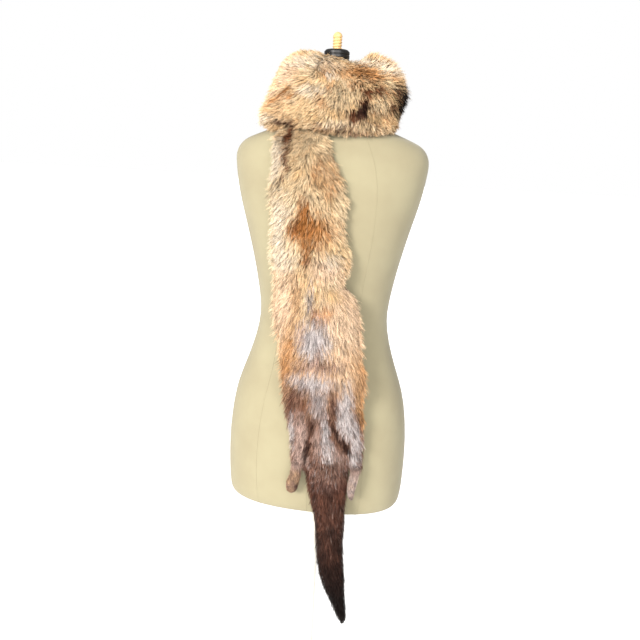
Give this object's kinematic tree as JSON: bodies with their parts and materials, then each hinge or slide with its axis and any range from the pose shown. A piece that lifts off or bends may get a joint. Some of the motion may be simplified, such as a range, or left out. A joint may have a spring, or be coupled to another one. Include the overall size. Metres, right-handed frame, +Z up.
{
  "type": "fur stole on a limbless dress form with a stand",
  "caption": "Long tapering fur stole wound once round the neck of a limbless dress form, its end with hind paws and tail hanging down the near side, on a plain pole stand.",
  "frame": {"origin": "centre of the stand's underside, on the floor", "axes": "+Z up along the pole and the neck; +X to the right and -Y towards a viewer who faces the hanging end of the stole"},
  "size_m": [0.35, 0.29, 1.3648],
  "materials": {
    "golden_fur": "long soft fur",
    "tawny_fur": "long soft fur",
    "dark_fur": "sleek fur",
    "paw_fur": "short fur",
    "form_jersey": "matt knitted jersey",
    "nut_plastic": "satin",
    "peg_wood": "plain",
    "stand_steel": "satin enamel"
  },
  "bodies": {
    "root": {"neck_wrap_front": "golden_fur", "neck_wrap_back": "golden_fur", "panel_upper": "golden_fur", "panel_lower": "tawny_fur", "rump": "dark_fur", "tail": "dark_fur", "hind_paw_left": "paw_fur", "hind_paw_right": "paw_fur", "form_body": "form_jersey", "neck_nut": "nut_plastic", "neck_peg": "peg_wood", "stand_base": "stand_steel", "stand_pole": "stand_steel", "stand_flange": "stand_steel"}
  },
  "joints": []
}
